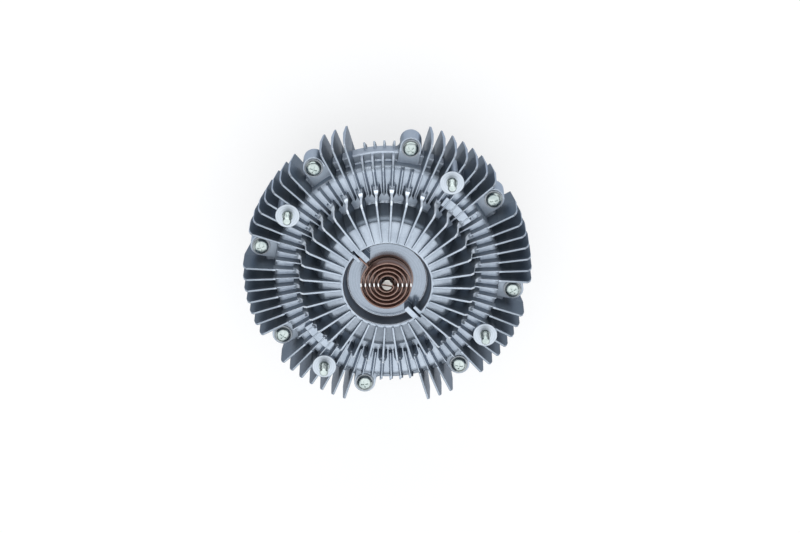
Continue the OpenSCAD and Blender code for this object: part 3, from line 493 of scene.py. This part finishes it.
BAND_FROM, BAND_TO, BAND_STEPS = 214.5, 234.5, 21
BAND_R0, BAND_R1, BAND_Z0, BAND_Z1, BAND_EDGE = 63.0, 70.0, 79.0, 84.6, 0.3


def band():
    """A sector of a ring with its upper edges broken."""
    profile = [(BAND_R0, BAND_Z0), (BAND_R0, BAND_Z1 - BAND_EDGE), (BAND_R0 + BAND_EDGE, BAND_Z1),
               (BAND_R1 - BAND_EDGE, BAND_Z1), (BAND_R1, BAND_Z1 - BAND_EDGE), (BAND_R1, BAND_Z0)]
    angles = np.radians(np.linspace(BAND_FROM, BAND_TO, BAND_STEPS))
    return skin([[(*on_circle(r, a), z) for r, z in profile] for a in angles])


plain_band = new_mesh("cover_plain_band", *band(), ALUMINIUM, smooth=30)
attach(plain_band, "housing")


# ---- fan studs with their threads

# Number of studs, how far the thread turns from one to the next, and points round a stud
STUDS, STUD_TURN, STUD_STEPS = 4, 31, 28
BODY_R, BODY_Z = 3.5, -14.0
THREAD_R, THREAD_DEPTH, THREAD_PITCH, THREAD_ROWS = 3.0, 0.5, 1.0, 8
THREAD_Z0, THREAD_Z1, CHAMFER = -0.1, 11.0, 0.8
# Parts of half a pitch that the flat crest and the flank take up
CREST, FLANK = 0.12, 0.72
# Radii of a ring on both end faces, and of one more on the upper face
END_R, TOP_R = 1.0, 1.95


def thread():
    """Rows of points up the side of the thread, which fades into a chamfer at its top."""
    height = THREAD_Z1 - THREAD_Z0
    count = int(round(height / THREAD_PITCH * THREAD_ROWS))
    rows = []
    for k in range(count + 1):
        z = THREAD_Z0 + height * k / count
        limit = THREAD_R - max(0.0, CHAMFER - (THREAD_Z1 - z))
        row = []
        for i in range(STUD_STEPS):
            phase = (z / THREAD_PITCH - i / STUD_STEPS) % 1.0
            from_crest = abs(phase - 0.5) * 2
            r = THREAD_R - THREAD_DEPTH * min(1.0, max(0.0, (from_crest - CREST) / FLANK))
            row.append((*on_circle(min(r, limit), 2 * math.pi * i / STUD_STEPS), z))
        rows.append(row)
    return rows


def stud():
    """One stud, with the face of its pad at z = 0."""
    low = [ring(r, z, STUD_STEPS) for r, z in ((END_R, BODY_Z), (BODY_R, BODY_Z), (BODY_R, THREAD_Z0))]
    return skin(low + thread() + [ring(r, THREAD_Z1, STUD_STEPS) for r in (TOP_R, END_R)])


stud_points, stud_faces = stud()
parts = [(placed(stud_points, STUD_R, STUD_A + 360 / STUDS * i, PAD_Z, STUD_TURN * i), stud_faces)
         for i in range(STUDS)]
studs = new_mesh("fan_stud_threads", *joined(parts), ZINC, smooth=30)
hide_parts("fan_studs")
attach(studs, "housing")


# ---- pan head screws with a cross recess

HEAD_STEPS = 48
HEAD_PROFILE = [(0, -16), (2.2, -16), (3.0, -15), (3.0, 0), (4.9, 0.0), (5.2, 0.12), (5.3, 0.35), (5.3, 0.9),
                (5.2, 1.35), (4.95, 1.75), (4.5, 2.15), (3.8, 2.47), (2.9, 2.68), (1.8, 2.78), (0.9, 2.8),
                (0, 2.8)]
# Levels of the recess, with half the length and half the width of an arm
RECESS = ((3.4, 2.75, 0.6), (2.15, 2.35, 0.46), (1.95, 2.2, 0.42))
# Angle of the recess of each screw
SCREW_TURNS = (12, 38, 71, 24, 55, 8, 80, 33)


def screw_head():
    """Points and faces of a pan head on a plain shank, with the recess cut out."""
    head = new_mesh("screw_head", *lathe(HEAD_PROFILE, HEAD_STEPS), ZINC)
    arm_points, arm_faces = skin([[(l, w, z), (-l, w, z), (-l, -w, z), (l, -w, z)] for z, l, w in RECESS])
    for angle in (0, 90):
        cutter = new_mesh("screw_cut", turned(arm_points, angle), arm_faces, ZINC)
        cut = head.modifiers.new("recess", "BOOLEAN")
        cut.operation, cut.object, cut.solver = "DIFFERENCE", cutter, "EXACT"
        bpy.context.view_layer.update()
        done = bpy.data.meshes.new_from_object(head.evaluated_get(bpy.context.evaluated_depsgraph_get()))
        head.modifiers.clear()
        head.data = done
        bpy.data.objects.remove(cutter)
    points = [tuple(c / MM for c in v.co) for v in head.data.vertices]
    faces = [list(p.vertices) for p in head.data.polygons]
    bpy.data.objects.remove(head)
    return points, faces


head_points, head_faces = screw_head()
parts = [(placed(head_points, SCREW_R, SCREW_A + 360 / len(SCREW_TURNS) * i, SCREW_Z, turn), head_faces)
         for i, turn in enumerate(SCREW_TURNS)]
screws = new_mesh("cover_screw_heads", *joined(parts), ZINC, smooth=32)
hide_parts("cover_screws")
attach(screws, "housing")


# ---- bimetal coil: a strip with rolled edges, bent into the post and the shaft's slot

STEPS_PER_TURN, END_STEPS, BEND_STEPS, CORNER_STEPS = 84, 12, 9, 4
TAIL_BEND, ROOT_BEND, STRIP_EDGE = 1.3, 1.0, 0.42


def bend(points, at, radius):
    """The polyline with its corner at an index rounded by a small arc."""
    before, corner, after = points[:at], points[at], points[at + 1:]
    while before and np.linalg.norm(before[-1] - corner) < radius:
        before = before[:-1]
    while after and np.linalg.norm(after[0] - corner) < radius:
        after = after[1:]
    start, end = before[-1], after[0]
    arc = [(1 - t) ** 2 * start + 2 * t * (1 - t) * corner + t * t * end
           for t in np.linspace(0, 1, BEND_STEPS)[1:-1]]
    return before + arc + after


def coil_line():
    """Centreline from the post round the turns to the shaft, with a small bend at both ends of the spiral."""
    spiral = []
    steps = int(COIL_TURNS * STEPS_PER_TURN)
    for i in range(steps + 1):
        turn = COIL_TURNS * i / steps
        spiral.append(on_circle(COIL_R - COIL_PITCH * turn, math.radians(COIL_A + 360 * turn)))
    a0, a1 = math.radians(COIL_A), math.radians(COIL_A + COIL_TURNS * 360)
    tail = [on_circle(r, a0) for r in np.linspace(TAIL_R, COIL_R, END_STEPS)]
    root = [on_circle(r, a1) for r in np.linspace(COIL_INNER_R, ROOT_R, END_STEPS)]
    outer = bend(tail[:-1] + spiral, len(tail) - 1, TAIL_BEND)
    return bend(outer + root[1:], len(outer) - 1, ROOT_BEND)


def strip(line):
    """Rows of points round the strip along its line, with rounded edges."""
    half, high, profile = STRIP_T / 2 - STRIP_EDGE, STRIP_W - STRIP_EDGE, []
    for cx, cz, a in ((half, high, 0), (-half, high, 90), (-half, STRIP_EDGE, 180), (half, STRIP_EDGE, 270)):
        for k in range(CORNER_STEPS):
            t = math.radians(a + 90 / (CORNER_STEPS - 1) * k)
            profile.append((cx + STRIP_EDGE * math.cos(t), cz + STRIP_EDGE * math.sin(t)))
    pts = np.array(line)
    along = np.gradient(pts, axis=0)
    along /= np.linalg.norm(along, axis=1)[:, None]
    side = np.stack([along[:, 1], -along[:, 0]], 1)
    return [[(p[0] + s[0] * u, p[1] + s[1] * u, COIL_Z + v) for u, v in profile] for p, s in zip(pts, side)]


line = coil_line()
coil = new_mesh("bimetal_spiral", *skin(strip(line)), BIMETAL, smooth=50)
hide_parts("bimetal_coil")
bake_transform(coil)


# ---- studio: pale floor, soft light, and the camera of the photograph, in metres

FLOOR_R, FLOOR_STEPS = 4000, 64
SKY, SKY_STRENGTH = (0.80, 0.88, 1.0, 1), 0.2
SOFT, COOL = (0.97, 0.985, 1.0), (0.95, 0.975, 1.0)
OBJECT = (0, 0, 0.08)
# Name, place, size, power in watts, colour, and the point that it is aimed at
LAMPS = [
    ("ceiling", (0.0, -0.77, 1.8), (3.2, 3.46), 60, SOFT, (0.0, -0.77, 0.0)),
    ("top", (0.0, 1.4, 0.5), (2.4, 0.9), 19, SOFT, OBJECT),
    ("side", (-1.7, -0.55, 0.4), (1.4, 0.7), 4, COOL, OBJECT),
    ("side", (1.7, -0.55, 0.4), (1.4, 0.7), 4, COOL, OBJECT),
]
# The photograph looks from so many degrees off the axis, from so far away, with +Y up in it
TILT, AWAY = 21.6, 1.75
SENSOR, PHOTO_WIDTH, PIXELS_PER_MM = 36.0, 800, 1.4398
LOOK_AT, LOOK_RIGHT, LOOK_UP = (0, 0, 0.074), 0.0088, 0.0019
CLIP_NEAR, CLIP_FAR = 0.05, 20


def studio():
    """The floor and the light of the room."""
    floor = new_mesh("floor", *lathe([(FLOOR_R, 0), (0, 0)], FLOOR_STEPS), pale_floor("pale_floor"))
    world = bpy.data.worlds.new("studio")
    bpy.context.scene.world = world
    world.use_nodes = True
    room = world.node_tree.nodes["Background"]
    room.inputs[0].default_value = SKY
    room.inputs[1].default_value = SKY_STRENGTH


def softbox(name, place, size, power, color, aim):
    """A rectangular lamp."""
    data = bpy.data.lights.new(name, "AREA")
    data.shape, data.size, data.size_y, data.energy, data.color = "RECTANGLE", size[0], size[1], power, color
    lamp = bpy.data.objects.new(name, data)
    lamp.location = place
    lamp.rotation_euler = (Vector(aim) - Vector(place)).to_track_quat("-Z", "Y").to_euler()
    bpy.context.scene.collection.objects.link(lamp)


def camera():
    """The camera of the photograph, with its lens set by the scale of the picture."""
    tilt = math.radians(TILT)
    back = Vector((0, math.sin(tilt), math.cos(tilt)))
    right, up = Vector((1, 0, 0)), Vector((0, math.cos(tilt), -math.sin(tilt)))
    data = bpy.data.cameras.new("camera")
    data.sensor_fit, data.sensor_width = "HORIZONTAL", SENSOR
    data.lens = PIXELS_PER_MM * AWAY / MM / PHOTO_WIDTH * SENSOR
    data.clip_start, data.clip_end = CLIP_NEAR, CLIP_FAR
    cam = bpy.data.objects.new("camera", data)
    pose = Matrix((right, up, back)).transposed().to_4x4()
    pose.translation = Vector(LOOK_AT) + right * LOOK_RIGHT + up * LOOK_UP + back * AWAY
    cam.matrix_world = pose
    bpy.context.scene.collection.objects.link(cam)
    bpy.context.scene.camera = cam


studio()
for lamp in LAMPS:
    softbox(*lamp)
camera()
bpy.context.scene.view_settings.view_transform = "Standard"
